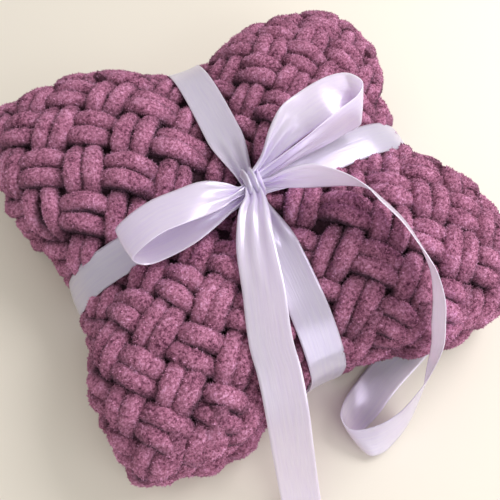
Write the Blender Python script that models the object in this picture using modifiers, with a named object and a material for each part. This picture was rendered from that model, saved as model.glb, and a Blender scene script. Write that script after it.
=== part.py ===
"""A folded basket-knit blanket in fat chenille yarn, tied both ways with a satin ribbon and a bow.

The blanket is one back-and-forth section of four layers, drawn in by the ribbon to four
pillow-like lobes. Lengths are in millimetres here and become metres when a mesh is made.
"""

import math
from collections import namedtuple

import bmesh
import bpy
from mathutils import Vector

MM = 0.001

# Folded cloth
LAYER = 20.0
LAYER_GAP = 1.5
LAYERS = 4
STACK = LAYERS * LAYER + (LAYERS - 1) * LAYER_GAP
HALF_X = 137.5
HALF_Y = 135.0
CROWN = 90.0
EDGE_DROOP = 26.0
CORNER_DROOP = 8.0
CORNER_INSET = 0.055
RIM = ((0.0, 1.0), (5.0, 0.84), (8.3, 0.46))  # each row: reach past the flat, share of thickness

# Knit: a checkerboard of stitch pairs on the diagonal, two strands to a pair
WEAVE = 39.0
STEP = WEAVE / 4
STRAND_RISE = 3.2
HOLE_DIP = 3.4
COLUMNS_WEST = 12
COLUMNS_EAST = 13
ROWS = 13
END_POINTS = 3

# Ribbon
RIBBON = 25.0
RIBBON_THICK = 1.0
FLOOR_CLEAR = 0.7
RIBBON_LEAN_X = 0.04
RIBBON_LEAN_Y = 0.045
VALLEY = 14.0
VALLEY_FLAT = 17.0
VALLEY_WIDTH = 44.0
CHANNEL = 4.6
CHANNEL_WIDTH = 34.0
BAND = 20.5
CROSS_CLEAR = 1.3
LONG_CLEAR = 2.9
PATH_STEP = 12.0
SHORTEST_STEP = 1.5
KNOT_SIZE = (15.0, 19.0, 14.0)
KNOT_CENTRE = (0.0, 0.0, 87.4)

# How far each side of the pile reaches from the knot, and how deep the ribbon pinches it
Side = namedtuple("Side", "low_end high_end pinch lean")
EAST = Side(low_end=149.0, high_end=145.0, pinch=17.0, lean=6.0)
WEST = Side(low_end=141.0, high_end=150.0, pinch=16.0, lean=-6.0)
NORTH = Side(low_end=149.0, high_end=135.0, pinch=14.0, lean=5.0)
SOUTH = Side(low_end=135.0, high_end=137.0, pinch=17.0, lean=-5.0)
PINCH_FLAT = 24.0
PINCH_SLOPE = 52.0

# How far each layer's edge stands out from the mean on the near side, top layer first
NEAR_EDGE = ((0.0, 0.0), (-2.0, 2.0), (5.0, -2.0), (3.0, -25.0))  # each row: left half, right half
SHIFT_START = 60.0
SHIFT_END = 92.0
SHIFT_FADE = 24.0

# Free ribbon: centre of the strip, direction across it, and its width there
Row = namedtuple("Row", "x y z wx wy wz width")

BOW_LOOP_LEFT = (
    Row(-11, -3, 91, 0.47, 0.75, -0.40, 9),
    Row(-20, -4, 96, 0.47, 0.86, -0.21, 18),
    Row(-34, -4, 103, 0.30, 0.93, -0.13, 25),
    Row(-50, -5, 107, 0.13, 0.98, -0.17, 25),
    Row(-65, -5, 107, 0.05, 0.98, -0.19, 25),
    Row(-79, -7, 104, -0.08, 0.97, -0.22, 25),
    Row(-89, -9, 97, -0.10, 0.96, -0.23, 25),
    Row(-84, -11, 89, 0.00, 0.98, -0.18, 25),
    Row(-75, -12, 86, 0.06, 0.99, -0.13, 25),
    Row(-59, -11, 85, 0.06, 0.99, -0.10, 25),
    Row(-45, -9, 86, 0.05, 1.00, -0.06, 25),
    Row(-30, -8, 87, 0.08, 1.00, -0.05, 19),
    Row(-12, -6, 86, 0.20, 0.94, -0.20, 10),
)
BOW_LOOP_RIGHT = (
    Row(12, 9, 93, -0.20, 0.45, 0.85, 9),
    Row(26, 16, 99, -0.45, 0.65, 0.60, 18),
    Row(40, 22, 103, -0.46, 0.74, 0.52, 25),
    Row(53, 25, 105, -0.30, 0.87, 0.38, 25),
    Row(65, 27, 106, -0.22, 0.90, 0.36, 25),
    Row(76, 28, 105, -0.06, 0.87, 0.49, 25),
    Row(85, 26.5, 103, 0.12, 0.70, 0.70, 25),
    Row(90, 20, 101, 0.12, 0.38, 0.92, 25),
    Row(86, 13.5, 99.5, -0.08, 0.35, 0.93, 25),
    Row(73, 11, 98, -0.09, 0.25, 0.96, 25),
    Row(58, 8, 97, -0.11, 0.16, 0.98, 25),
    Row(39, 5, 95, -0.10, 0.05, 0.98, 21),
    Row(24, 3, 92.5, -0.10, 0.05, 0.98, 15),
    Row(11, 2, 90, -0.10, 0.05, 0.97, 9),
)
TAIL_FRONT = (
    Row(-4, -13, 94, 0.94, -0.33, 0.09, 13),
    Row(-9, -21, 97, 0.92, -0.36, 0.12, 18),
    Row(-14, -31, 98, 0.86, -0.42, 0.25, 21),
    Row(-20, -46, 97, 0.86, -0.42, 0.25, 24),
    Row(-27, -69, 95, 0.88, -0.38, 0.25, 25),
    Row(-36, -96, 91, 0.92, -0.30, 0.20, 25),
    Row(-39, -114, 85, 0.93, -0.30, 0.16, 25),
    Row(-43, -133, 73, 0.94, -0.29, 0.12, 25),
    Row(-47, -153, 50, 0.94, -0.30, 0.08, 25),
    Row(-50, -171, 26, 0.95, -0.30, 0.04, 25),
    Row(-53, -188, 7, 0.95, -0.28, 0.00, 25),
    Row(-57, -206, 1.3, 0.96, -0.26, 0.00, 25),
    Row(-66, -236, 1.3, 0.96, -0.26, 0.00, 25),
)
TAIL_SIDE = (
    Row(10, -5, 91, 0.06, 0.20, 0.98, 8),
    Row(18, -11, 99, 0.05, 0.18, 0.98, 17),
    Row(29, -18, 105, 0.02, 0.12, 0.99, 24),
    Row(41, -26, 107, -0.19, 0.01, 0.98, 25),
    Row(49, -33, 108, -0.27, -0.17, 0.95, 25),
    Row(56, -41, 108, -0.39, -0.31, 0.87, 25),
    Row(60, -53, 108, -0.49, -0.30, 0.82, 25),
    Row(64, -69, 108, -0.50, -0.25, 0.83, 25),
    Row(65, -85, 107, -0.46, -0.20, 0.86, 25),
    Row(64, -103, 106, -0.35, -0.22, 0.91, 25),
    Row(60, -118, 101, -0.24, -0.27, 0.93, 25),
    Row(57, -129, 90, -0.17, -0.24, 0.96, 25),
    Row(55, -140, 75, -0.19, -0.22, 0.96, 25),
    Row(51, -149, 57, -0.30, -0.16, 0.94, 25),
    Row(48, -156, 41, -0.34, 0.02, 0.94, 25),
    Row(41, -163, 28, -0.37, 0.20, 0.91, 25),
    Row(32, -169, 18, -0.25, 0.42, 0.87, 25),
    Row(20, -172, 14.5, -0.25, 0.58, 0.78, 25),
    Row(8, -172, 13, -0.28, 0.75, 0.59, 25),
    Row(-1, -168, 12.6, -0.24, 0.82, 0.52, 25),
    Row(-3, -158, 10.5, -0.24, 0.68, 0.70, 25),
    Row(7, -152, 6, -0.45, 0.78, 0.42, 25),
    Row(21, -146, 2.4, -0.39, 0.92, 0.06, 25),
    Row(35, -140, 1.3, -0.35, 0.94, 0.00, 25),
    Row(49, -135, 1.3, -0.34, 0.94, 0.00, 25),
    Row(62, -131, 1.3, -0.34, 0.94, 0.00, 25),
    Row(74, -127, 1.3, -0.34, 0.94, 0.00, 25),
)

Colour = namedtuple("Colour", "red green blue roughness")
CHENILLE = Colour(0.342, 0.126, 0.231, 0.95)
SATIN = Colour(0.690, 0.610, 0.790, 0.35)


def smooth(value):
    """A soft step from 0 to 1 as value goes from 0 to 1."""
    held = min(max(value, 0.0), 1.0)
    return held * held * (3.0 - 2.0 * held)


def side_reach(side, along):
    """Distance from the knot to one side of the pile, at a place along that side."""
    share = smooth((along + HALF_X) / (2.0 * HALF_X))
    reach = side.low_end + (side.high_end - side.low_end) * share
    return reach - side.pinch * (1.0 - smooth((abs(along - side.lean) - PINCH_FLAT) / PINCH_SLOPE))


def ribbon_distance(u, v):
    """Distance from the nearer of the two ribbon lines."""
    return min(abs(u - RIBBON_LEAN_X * v), abs(v - RIBBON_LEAN_Y * u))


def top_height(u, v):
    """Height of the pile, with a valley under each ribbon and lower edges and corners."""
    from_long = abs(u - RIBBON_LEAN_X * v)
    from_cross = abs(v - RIBBON_LEAN_Y * u)
    slope = VALLEY_WIDTH - VALLEY_FLAT
    rise = smooth((from_long - VALLEY_FLAT) / slope) * smooth((from_cross - VALLEY_FLAT) / slope)
    side_x = min(abs(u) / HALF_X, 1.0) ** 5
    side_y = min(abs(v) / HALF_Y, 1.0) ** 5
    droop = 1.0 - (1.0 - side_x) * (1.0 - side_y)
    height = CROWN - VALLEY * (1.0 - rise)
    return height - EDGE_DROOP * droop - CORNER_DROOP * side_x * side_y


def near_edge_shift(u, v, z):
    """How far a layer's edge moves out on the near side, where the layers don't line up."""
    layer = min(int((STACK - z) / (LAYER + LAYER_GAP)), LAYERS - 1)
    left, right = NEAR_EDGE[layer]
    near = smooth((-v - SHIFT_START) / (HALF_Y - SHIFT_START))
    past_ribbon = smooth((abs(u - RIBBON_LEAN_X * v) - BAND / 2) / SHIFT_FADE)
    before_fold = 1.0 - smooth((abs(u) - SHIFT_END) / SHIFT_FADE)
    return (left if u < 0.0 else right) * near * past_ribbon * before_fold


def place(u, v, z):
    """Turns a point of the flat, square stack into its place in the tied bundle."""
    reach_y = side_reach(NORTH if v > 0 else SOUTH, u)
    v -= near_edge_shift(u, v, z) * HALF_Y / reach_y
    x = u / HALF_X * side_reach(EAST if u > 0 else WEST, v)
    y = v / HALF_Y * reach_y
    corner = 1.0 - CORNER_INSET * (u / HALF_X) ** 2 * (v / HALF_Y) ** 2
    depth = 1.0 - z / STACK
    barrel = 1.0 + 0.02 * math.sin(math.pi * min(depth * 0.9, 1.0))
    lift = CHANNEL * smooth((CHANNEL_WIDTH - ribbon_distance(u, v)) / (CHANNEL_WIDTH - VALLEY_FLAT))
    height = z * top_height(u, v) / STACK + lift * depth**3
    return Vector((x * corner * barrel, y * corner * barrel, height))


def knit_relief(s, v):
    """Height of the stitch pairs over the mean surface, at a place on the cloth."""
    p = (s + v) / WEAVE
    q = (s - v) / WEAVE
    i = math.floor(p)
    j = math.floor(q)
    along, across = (p - i, q - j) if (i + j) % 2 == 0 else (q - j, p - i)
    strands = 0.35 + 0.65 * abs(math.sin(2.0 * math.pi * across))
    hole = abs(math.cos(math.pi * along) * math.cos(math.pi * across)) ** 6
    return STRAND_RISE * strands * math.sin(math.pi * along) ** 0.6 - HOLE_DIP * hole


Point = namedtuple("Point", "u z mid_u mid_z s knit along")


def layer_middle(layer):
    """Height of a layer's middle in the flat stack, with layer 0 on top."""
    return STACK - LAYER / 2 - layer * (LAYER + LAYER_GAP)


def run(layer, side, places, knit=0.0):
    """The points of one layer's upper or lower face, side being 1 or -1."""
    middle = layer_middle(layer)
    length = places[-1] - places[0]
    points = []
    for u in places:
        along = 2 * layer + (u - places[0]) / length
        points.append(Point(u, middle + side * LAYER / 2, u, middle, u, knit, along))
    return points


def bend(centre_u, upper, toward, face, count, knit=0.0):
    """The points of a fold from a layer down to the next one, without its two ends."""
    centre_z = layer_middle(upper) - (LAYER + LAYER_GAP) / 2
    middle = (LAYER + LAYER_GAP) / 2
    radius = middle + face * LAYER / 2
    points = []
    for number in range(1, count + 1):
        share = number / (count + 1)
        out = toward * math.sin(math.pi * share)
        up = math.cos(math.pi * share)
        face_u, face_z = centre_u + radius * out, centre_z + radius * up
        mid_u, mid_z = centre_u + middle * out, centre_z + middle * up
        s = centre_u + toward * STEP * number
        points.append(Point(face_u, face_z, mid_u, mid_z, s, knit, 2 * upper + 1 + share))
    return points


def free_end(layer, end_u):
    """The round free end of a layer, from its lower face to its upper one."""
    middle = layer_middle(layer)
    points = []
    for number in range(END_POINTS, 0, -1):
        angle = math.pi * number / (END_POINTS + 1)
        u = end_u + LAYER / 2 * math.sin(angle)
        z = middle + LAYER / 2 * math.cos(angle)
        points.append(Point(u, z, end_u, middle, u, 0.0, 2 * layer))
    return points


def fold_faces():
    """The two faces of the back-and-forth cloth, from its uppermost end to its lowest one."""
    west = -COLUMNS_WEST * STEP
    east = COLUMNS_EAST * STEP
    fold_east = east - LAYER - 2.0
    inner = [west, -60.0, -2.0 * STEP, 0.0, 2.0 * STEP, 60.0, fold_east]
    fine = [number * STEP for number in range(COLUMNS_EAST, -COLUMNS_WEST - 1, -1)]
    sole = [number * STEP for number in (-12, -8, -4, -2, 0, 2, 4, 8, 13)]
    first = (
        run(0, 1, fine, knit=1.0)
        + bend(west, 0, -1, 1, 6, knit=0.8)
        + run(1, -1, inner)
        + bend(fold_east, 1, 1, -1, 2)
        + run(2, 1, inner[::-1])
        + bend(west, 2, -1, 1, 6, knit=0.8)
        + run(3, -1, sole)
    )
    second = (
        run(0, -1, [east] + inner[::-1])
        + bend(west, 0, -1, -1, 2)
        + run(1, 1, inner)
        + bend(fold_east, 1, 1, 1, 6, knit=0.8)
        + run(2, -1, inner[::-1])
        + bend(west, 2, -1, -1, 2)
        + run(3, 1, inner + [east])
    )
    return first, second


def end_triangles(first, second):
    """Triangles that close one end of the fold, each from one face of the cloth to the other."""
    last = len(first) + END_POINTS + len(second) - 1
    a = 0
    b = 0
    triangles = []
    while a < len(first) - 1 or b < len(second) - 1:
        a_left = a < len(first) - 1
        if a_left and (b == len(second) - 1 or first[a + 1].along <= second[b + 1].along):
            triangles.append((a, a + 1, last - b))
            a += 1
        else:
            triangles.append((a, last - b - 1, last - b))
            b += 1
    low_end = [a + number for number in range(END_POINTS + 2)]
    high_end = [last + number for number in range(END_POINTS + 1)] + [0]
    for ring in (low_end, high_end):
        for number in range(1, END_POINTS + 1):
            triangles.append((ring[0], ring[number], ring[number + 1]))
    return triangles


def knit_point(point, v, share):
    """A section point with its stitch relief, its layer thinned to a share at the rim."""
    out = Vector((point.u - point.mid_u, point.z - point.mid_z))
    rise = 0.0
    if point.knit:
        clear = smooth((ribbon_distance(point.u, v) - VALLEY_FLAT) / 12.0)
        rise = knit_relief(point.s, v) * point.knit * clear
    length = out.length * share + rise
    out.normalize()
    floor_rise = 0.0 if point.z > 1.0 else rise
    return point.mid_u + out.x * length, point.mid_z + out.y * (length - floor_rise)


def row_stations():
    """Each row along the fold: place across it, and share of the layers' thickness."""
    flat_end = ROWS * STEP
    far = [(flat_end + reach, share) for reach, share in RIM[1:]]
    near = [(-v, share) for v, share in reversed(far)]
    return near + [(number * STEP, 1.0) for number in range(-ROWS, ROWS + 1)] + far


def strand_direction(s, v):
    """Which diagonal of a small square the stitches follow there: 1 or -1."""
    p = (s + v) / WEAVE
    q = (s - v) / WEAVE
    on_p = abs(p - round(p)) < 0.01
    on_q = abs(q - round(q)) < 0.01
    if on_p != on_q:
        return -1 if on_p else 1
    return 1 if (math.floor(p + 0.001) + math.floor(q + 0.001)) % 2 == 0 else -1


def blanket_mesh():
    """The folded cloth as one closed body."""
    first, second = fold_faces()
    east = COLUMNS_EAST * STEP
    section = first + free_end(LAYERS - 1, east) + second[::-1] + free_end(0, east)
    stations = row_stations()
    mesh = bmesh.new()
    rows = []
    for v, share in stations:
        row = []
        for point in section:
            u, z = knit_point(point, v, share)
            row.append(mesh.verts.new(place(u, v, z) * MM))
        rows.append(row)
    count = len(section)
    for number in range(len(rows) - 1):
        middle_v = (stations[number][0] + stations[number + 1][0]) / 2
        for index in range(count):
            after = (index + 1) % count
            a, b = rows[number][index], rows[number][after]
            d, c = rows[number + 1][index], rows[number + 1][after]
            # Columns run towards -X, so the rising diagonal of the cloth joins b to d
            middle_s = (section[index].s + section[after].s) / 2
            if section[index].knit and strand_direction(middle_s, middle_v) == 1:
                corners = ((a, b, d), (b, c, d))
            elif section[index].knit:
                corners = ((a, b, c), (a, c, d))
            else:
                mesh.faces.new((a, b, c, d))
                continue
            for corner in corners:
                mesh.faces.new(corner)
    for triangle in end_triangles(first, second):
        for row in (rows[0], rows[-1]):
            mesh.faces.new([row[index] for index in triangle])
    bmesh.ops.triangulate(mesh, faces=[face for face in mesh.faces if len(face.verts) > 3])
    bmesh.ops.recalc_face_normals(mesh, faces=mesh.faces)
    return mesh


def material_of(name, colour):
    """A Principled material in one colour."""
    material = bpy.data.materials.new(name)
    material.use_nodes = True
    shader = material.node_tree.nodes["Principled BSDF"]
    shader.inputs["Base Color"].default_value = (colour.red, colour.green, colour.blue, 1.0)
    shader.inputs["Roughness"].default_value = colour.roughness
    shader.inputs["Metallic"].default_value = 0.0
    return material


def add_object(name, mesh, material, collection):
    """Makes an object of a bmesh, and frees the bmesh."""
    data = bpy.data.meshes.new(name)
    mesh.to_mesh(data)
    mesh.free()
    data.materials.append(material)
    data.shade_smooth()
    obj = bpy.data.objects.new(name, data)
    collection.objects.link(obj)
    return obj


def curve_through(rows, share):
    """A smooth curve through rows of numbers, at a share of the way along them."""
    place_along = share * (len(rows) - 1)
    index = min(int(place_along), len(rows) - 2)
    t = place_along - index
    a = rows[max(index - 1, 0)]
    b = rows[index]
    c = rows[index + 1]
    d = rows[min(index + 2, len(rows) - 1)]
    values = []
    for p, q, r, s in zip(a, b, c, d):
        bend_in = 2 * p - 5 * q + 4 * r - s
        values.append(0.5 * (2 * q + (r - p) * t + bend_in * t * t + (3 * q - p - 3 * r + s) * t**3))
    return Row(*values)


def ribbon_mesh(rows, closed=False):
    """An open strip of ribbon that stays above the floor, three points across."""
    mesh = bmesh.new()
    lines = []
    total = len(rows)
    for row in rows:
        across = Vector((row.wx, row.wy, row.wz)).normalized()
        lowest = abs(across.z) * row.width / 2 + FLOOR_CLEAR
        centre = Vector((row.x, row.y, max(row.z, lowest)))
        lines.append([mesh.verts.new((centre + across * row.width * k) * MM) for k in (-0.5, 0.0, 0.5)])
    for index in range(total if closed else total - 1):
        first = lines[index]
        second = lines[(index + 1) % total]
        for column in range(2):
            mesh.faces.new((first[column], first[column + 1], second[column + 1], second[column]))
    bmesh.ops.recalc_face_normals(mesh, faces=mesh.faces)
    return mesh


def thicken(obj):
    """Gives an open strip the ribbon's thickness."""
    solid = obj.modifiers.new("ribbon thickness", "SOLIDIFY")
    solid.thickness = RIBBON_THICK * MM
    solid.offset = 0.0


def free_ribbon(name, rows, samples, material, collection):
    """A stretch of ribbon that stands free of the bundle."""
    line = [curve_through(rows, number / (samples - 1)) for number in range(samples)]
    thicken(add_object(name, ribbon_mesh(line), material, collection))


def hull(points):
    """The convex outline of points in a plane, anticlockwise."""
    ordered = sorted(set(points))

    def chain(items):
        kept = []
        for item in items:
            while len(kept) > 1 and cross(kept[-2], kept[-1], item) <= 0.0:
                kept.pop()
            kept.append(item)
        return kept[:-1]

    def cross(a, b, c):
        return (b[0] - a[0]) * (c[1] - a[1]) - (b[1] - a[1]) * (c[0] - a[0])

    return chain(ordered) + chain(ordered[::-1])


def outset(corners, clear):
    """A convex outline moved outwards by the same distance all round."""
    moved = []
    count = len(corners)
    for index, corner in enumerate(corners):
        before = corners[index - 1]
        after = corners[(index + 1) % count]
        first = math.atan2(corner[1] - before[1], corner[0] - before[0]) - math.pi / 2
        turn = math.atan2(after[1] - corner[1], after[0] - corner[0]) - math.pi / 2 - first
        half = (turn % (2.0 * math.pi)) / 2
        reach = clear / math.cos(half)
        moved.append((corner[0] + reach * math.cos(first + half), corner[1] + reach * math.sin(first + half)))
    return moved


def taut_path(points, clear):
    """The path of a taut ribbon round points of the bundle, with a point at least every PATH_STEP."""
    kept = []
    for corner in hull(points):
        if not kept or math.dist(corner, kept[-1]) > SHORTEST_STEP:
            kept.append(corner)
    corners = outset(kept, clear)
    path = []
    for start, end in zip(corners, corners[1:] + corners[:1]):
        pieces = math.ceil(math.dist(start, end) / PATH_STEP)
        for number in range(pieces):
            share = number / pieces
            path.append(tuple(a + (b - a) * share for a, b in zip(start, end)))
    return path


def gathered_width(along, height):
    """The ribbon's width on its way to the knot, where it is gathered."""
    near_knot = math.hypot(along, height - KNOT_CENTRE[2])
    return RIBBON * (0.36 + 0.64 * smooth(near_knot / 46.0))


def wrap_ribbons(blanket, material, collection):
    """The two bands of ribbon round the bundle, the lengthwise one outside the other."""
    points = [vertex.co / MM for vertex in blanket.data.vertices]
    cross = [(p.x, p.z) for p in points if abs(p.y - RIBBON_LEAN_Y * p.x) < BAND]
    long = [(p.y, p.z) for p in points if abs(p.x - RIBBON_LEAN_X * p.y) < BAND]
    cross_rows = [
        Row(x, RIBBON_LEAN_Y * x, z, 0, 1, 0, gathered_width(x, z)) for x, z in taut_path(cross, CROSS_CLEAR)
    ]
    long_rows = [
        Row(RIBBON_LEAN_X * y, y, z, 1, 0, 0, gathered_width(y, z)) for y, z in taut_path(long, LONG_CLEAR)
    ]
    thicken(add_object("ribbon_wrap_cross", ribbon_mesh(cross_rows, True), material, collection))
    thicken(add_object("ribbon_wrap_long", ribbon_mesh(long_rows, True), material, collection))


def add_knot(material, collection):
    """The knot: a soft, slightly leaning lump with a waist where the bow is drawn through."""
    mesh = bmesh.new()
    bmesh.ops.create_cube(mesh, size=1.0)
    bmesh.ops.subdivide_edges(mesh, edges=mesh.edges, cuts=1, use_grid_fill=True)
    for vertex in mesh.verts:
        x, y, z = vertex.co * 2.0
        waist = 0.88 if abs(y) < 0.5 else 1.0
        vertex.co.x = x * KNOT_SIZE[0] / 2 * waist + y * 0.8
        vertex.co.y = y * KNOT_SIZE[1] / 2
        vertex.co.z = z * KNOT_SIZE[2] / 2 * (1.0 if abs(y) < 0.5 else 0.86)
        vertex.co = (vertex.co + Vector(KNOT_CENTRE)) * MM
    knot = add_object("knot", mesh, material, collection)
    soft = knot.modifiers.new("soft form", "SUBSURF")
    soft.levels = 1
    soft.render_levels = 1


def centre_on_origin(collection):
    """Moves every mesh together, so that the middle of the object's box is over the origin."""
    points = [vertex.co for obj in collection.objects for vertex in obj.data.vertices]
    middle_x = (min(p.x for p in points) + max(p.x for p in points)) / 2
    middle_y = (min(p.y for p in points) + max(p.y for p in points)) / 2
    shift = Vector((middle_x, middle_y, 0.0))
    for obj in collection.objects:
        for vertex in obj.data.vertices:
            vertex.co -= shift


def main():
    for obj in list(bpy.data.objects):
        bpy.data.objects.remove(obj)
    collection = bpy.data.collections.new("tied_blanket")
    bpy.context.scene.collection.children.link(collection)
    chenille = material_of("dusty orchid chenille", CHENILLE)
    satin = material_of("pale lilac satin", SATIN)
    blanket = add_object("blanket", blanket_mesh(), chenille, collection)
    wrap_ribbons(blanket, satin, collection)
    add_knot(satin, collection)
    free_ribbon("bow_loop_left", BOW_LOOP_LEFT, 34, satin, collection)
    free_ribbon("bow_loop_right", BOW_LOOP_RIGHT, 34, satin, collection)
    free_ribbon("tail_front", TAIL_FRONT, 30, satin, collection)
    free_ribbon("tail_side", TAIL_SIDE, 54, satin, collection)
    centre_on_origin(collection)


main()
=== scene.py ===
"""The looks of a folded basket-knit blanket in chunky chenille yarn, tied both ways with a satin ribbon.

It is laid out as an add-on and run as a script: each operator makes one group of pieces round the
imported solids, and main() calls them in order. Tables are in millimetres, as the solids' source has
them, and place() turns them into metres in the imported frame.
"""

import math
import random
from collections import namedtuple
from functools import partial

import bpy
from bpy.props import FloatProperty, FloatVectorProperty, IntProperty, PointerProperty
from mathutils import Matrix, Vector


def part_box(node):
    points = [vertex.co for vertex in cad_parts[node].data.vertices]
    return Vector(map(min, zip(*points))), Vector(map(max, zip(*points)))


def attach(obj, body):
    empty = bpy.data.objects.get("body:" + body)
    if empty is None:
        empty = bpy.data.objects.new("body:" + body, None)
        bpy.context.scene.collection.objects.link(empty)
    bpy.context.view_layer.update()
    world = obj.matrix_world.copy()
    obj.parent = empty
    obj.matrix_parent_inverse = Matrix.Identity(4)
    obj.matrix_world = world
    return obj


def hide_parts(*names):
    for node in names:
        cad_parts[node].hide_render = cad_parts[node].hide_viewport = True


bl_info = {
    "name": "Tied chunky-knit blanket",
    "version": (1, 0, 0),
    "blender": (4, 5, 0),
    "location": "View3D > Sidebar > Tied blanket",
    "description": "Dresses the folded blanket's solids in chenille yarn and satin ribbon",
    "category": "Add Mesh",
}

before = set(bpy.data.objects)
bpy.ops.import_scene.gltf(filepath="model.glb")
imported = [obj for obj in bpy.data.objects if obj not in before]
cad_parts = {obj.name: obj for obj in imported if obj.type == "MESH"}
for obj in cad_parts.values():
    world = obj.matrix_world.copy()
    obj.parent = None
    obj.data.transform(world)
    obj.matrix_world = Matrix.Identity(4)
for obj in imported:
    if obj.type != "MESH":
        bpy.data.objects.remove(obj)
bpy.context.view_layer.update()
MM = 0.001

# Folded cloth, in the flat stack of four layers
LAYER = 20.0
LAYER_GAP = 1.5
LAYERS = 4
STACK = LAYERS * LAYER + (LAYERS - 1) * LAYER_GAP
HALF_X = 137.5
HALF_Y = 135.0
CROWN = 90.0
EDGE_DROOP = 26.0
CORNER_DROOP = 8.0
DROOP_POWER = 5
CORNER_INSET = 0.055
BARREL = 0.02  # how far the sides bulge, as a share of their distance
BARREL_LOW = 0.9
FLAT_EAST = 126.75
FLAT_WEST = -117.0
FLAT_Y = 126.75
FOLD_EAST = FLAT_EAST - LAYER - 2.0
FOLD_MIDDLE = (LAYER + LAYER_GAP) / 2
FOLD_RADIUS = FOLD_MIDDLE + LAYER / 2
EDGE_ROUND = 8.5
EDGE_TURN = 2.2  # how far round an edge the top's stitches go, in radians

# Ribbon lines and the valleys that they press
RIBBON = 25.0
RIBBON_LEAN_X = 0.04
RIBBON_LEAN_Y = 0.045
VALLEY = 14.0
VALLEY_FLAT = 17.0
VALLEY_WIDTH = 44.0
CHANNEL = 4.6
CHANNEL_WIDTH = 34.0
BAND = 20.5

Side = namedtuple("Side", "low_end high_end pinch lean")
EAST = Side(low_end=149.0, high_end=145.0, pinch=17.0, lean=6.0)
WEST = Side(low_end=141.0, high_end=150.0, pinch=16.0, lean=-6.0)
NORTH = Side(low_end=149.0, high_end=135.0, pinch=14.0, lean=5.0)
SOUTH = Side(low_end=135.0, high_end=137.0, pinch=17.0, lean=-5.0)
PINCH_FLAT = 24.0
PINCH_SLOPE = 52.0
NEAR_EDGE = ((0.0, 0.0), (-2.0, 2.0), (5.0, -2.0), (3.0, -25.0))  # each row: left half, right half
SHIFT_START = 60.0
SHIFT_END = 92.0
SHIFT_FADE = 24.0

# Stitch lattice: where cell (0, 0) lies in each lobe, and the steps along and across its strands
Lobe = namedtuple("Lobe", "u v along_u along_v across_u across_v")
LOBES = {
    "left": Lobe(-49.8, 63.9, 17.5, 23.6, 20.9, -13.1),
    "top": Lobe(-31.8, 83.0, 15.8, 15.5, 14.9, -22.8),
    "bottom": Lobe(-52.4, 45.5, 17.8, 16.3, 16.9, -20.4),
    "right": Lobe(-23.0, 41.5, 18.2, 22.9, 14.3, -17.2),
}
LATTICE = Lobe(-50.0, 58.2, 18.7, 20.1, 18.3, -19.7)  # their mean, which says whose turn it is
LOBE_BLEND = 60.0
CELLS = range(-14, 16)
OVER_EDGE = 16.0

# Strands of a stitch pair, as they arch up and dive under their neighbours
ARCH_END = 0.88
ARCH_POINTS = 9
CREST_DEPTH = 2.0
DIVE = 16.0
DIVE_AT = 0.8
DIVE_POWER = 2.1
DEEPEST = 15.0
PAIR_OFFSET = 5.9
PAIR_PINCH = 2.8
STRAND_FAT = 1.04
STRAND_TAPER = 0.5
STRAY = (0.03, 0.05, 0.05, 0.9, 0.05)  # aside, turned, ahead, in depth, and as a share of thickness
PROBE = 2.0  # depth over which the way out of the cloth is measured
# The way out of a stitch decides its painted shade
SKY_SHARE = 0.45  # how far the open side of a stitch turns up to the light
EDGE_LIGHT = 0.7
TOP, WEST_LOW, EAST_FOLD, UNDER = range(4)

# How the ribbon presses the stitches under it
PRESS = 6.8
PRESS_FLAT = 9.0
PRESS_SLOPE = 8.0
SQUEEZE = 0.12
EDGE_SQUEEZE = 0.38
RIM_PRESS = 7.5
RIM_PRESS_FLAT = 10.0
RIM_PRESS_SLOPE = 5.0
RIM_FLATTEN = 0.75
RIM_SQUEEZE = 0.25
TAIL_CROSSING = -45.0  # where the front tail of the ribbon goes down over the south rim
TAIL_PRESS = 0.75

# Stitches along a layer's rim
PETAL_STEP = 26.5
PETAL_HALF = 15.5
PETAL_TILT = 6.5
PETAL_OUT = 5.0
PETAL_DIVE = 7.0
PETAL_ROW = 5.4
PETAL_SLANT = 5.5
PETAL_FAT = 1.06
PETAL_THIN = 0.8
PETAL_STRAY = 0.8
PETAL_ROUND = 0.65
PETAL_CREST = 0.55  # how open a petal's ends are to the light
RIM_CORNER = 7.0
RIM_BEND = 12.0
RIM_TURN = 1.5
# How far the way out of a rim stitch turns up to the light, for its painted shade: on the top layer, and
# below it
RIM_SKY_TOP = 2.0
RIM_SKY = 0.8

# Which stitches each face has
FOLD_OVERLAP = 8.0
FOLD_OVER_EDGE = 9.0
FOLD_FAT = 0.97
UNDER_INSET = 17.0
Yarn = namedtuple("Yarn", "spacing sides density")  # of the rings in mm, and of pile per square mm
LOBE_YARN = Yarn(2.1, 19, 0.36)
FOLD_YARN = Yarn(2.4, 16, 0.35)
NEAR_RIM_YARN = Yarn(2.2, 16, 0.4)
RIM_YARN = Yarn(2.6, 14, 0.4)
UNDER_YARN = Yarn(5.0, 9, 0.05)
YARN_FLOOR = 0.3
RIM_SEED = 20
UNDER_SEED = 30

# Surface of the yarn
LUMP_SHARE = 0.28  # a lump is 3.6 tufts long
BLADE_LENGTH = 0.8  # a blade of the pile: its length and sizes as shares of the pile's
BLADE_SIZES = (0.7, 1.25)
BLADE_LEAN = 0.7

# The cloth's inner ground, a sheet that stands in for the yarn deep between the stitches and is painted in
# the pile's darkest shade
GROUND_HALF = 2.5
GROUND_INSET = 16.0
GROUND_STEPS = 12
GROUND_TURN = 6
GROUND_EDGE = 110.0
GROUND_ROWS = 28

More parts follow.
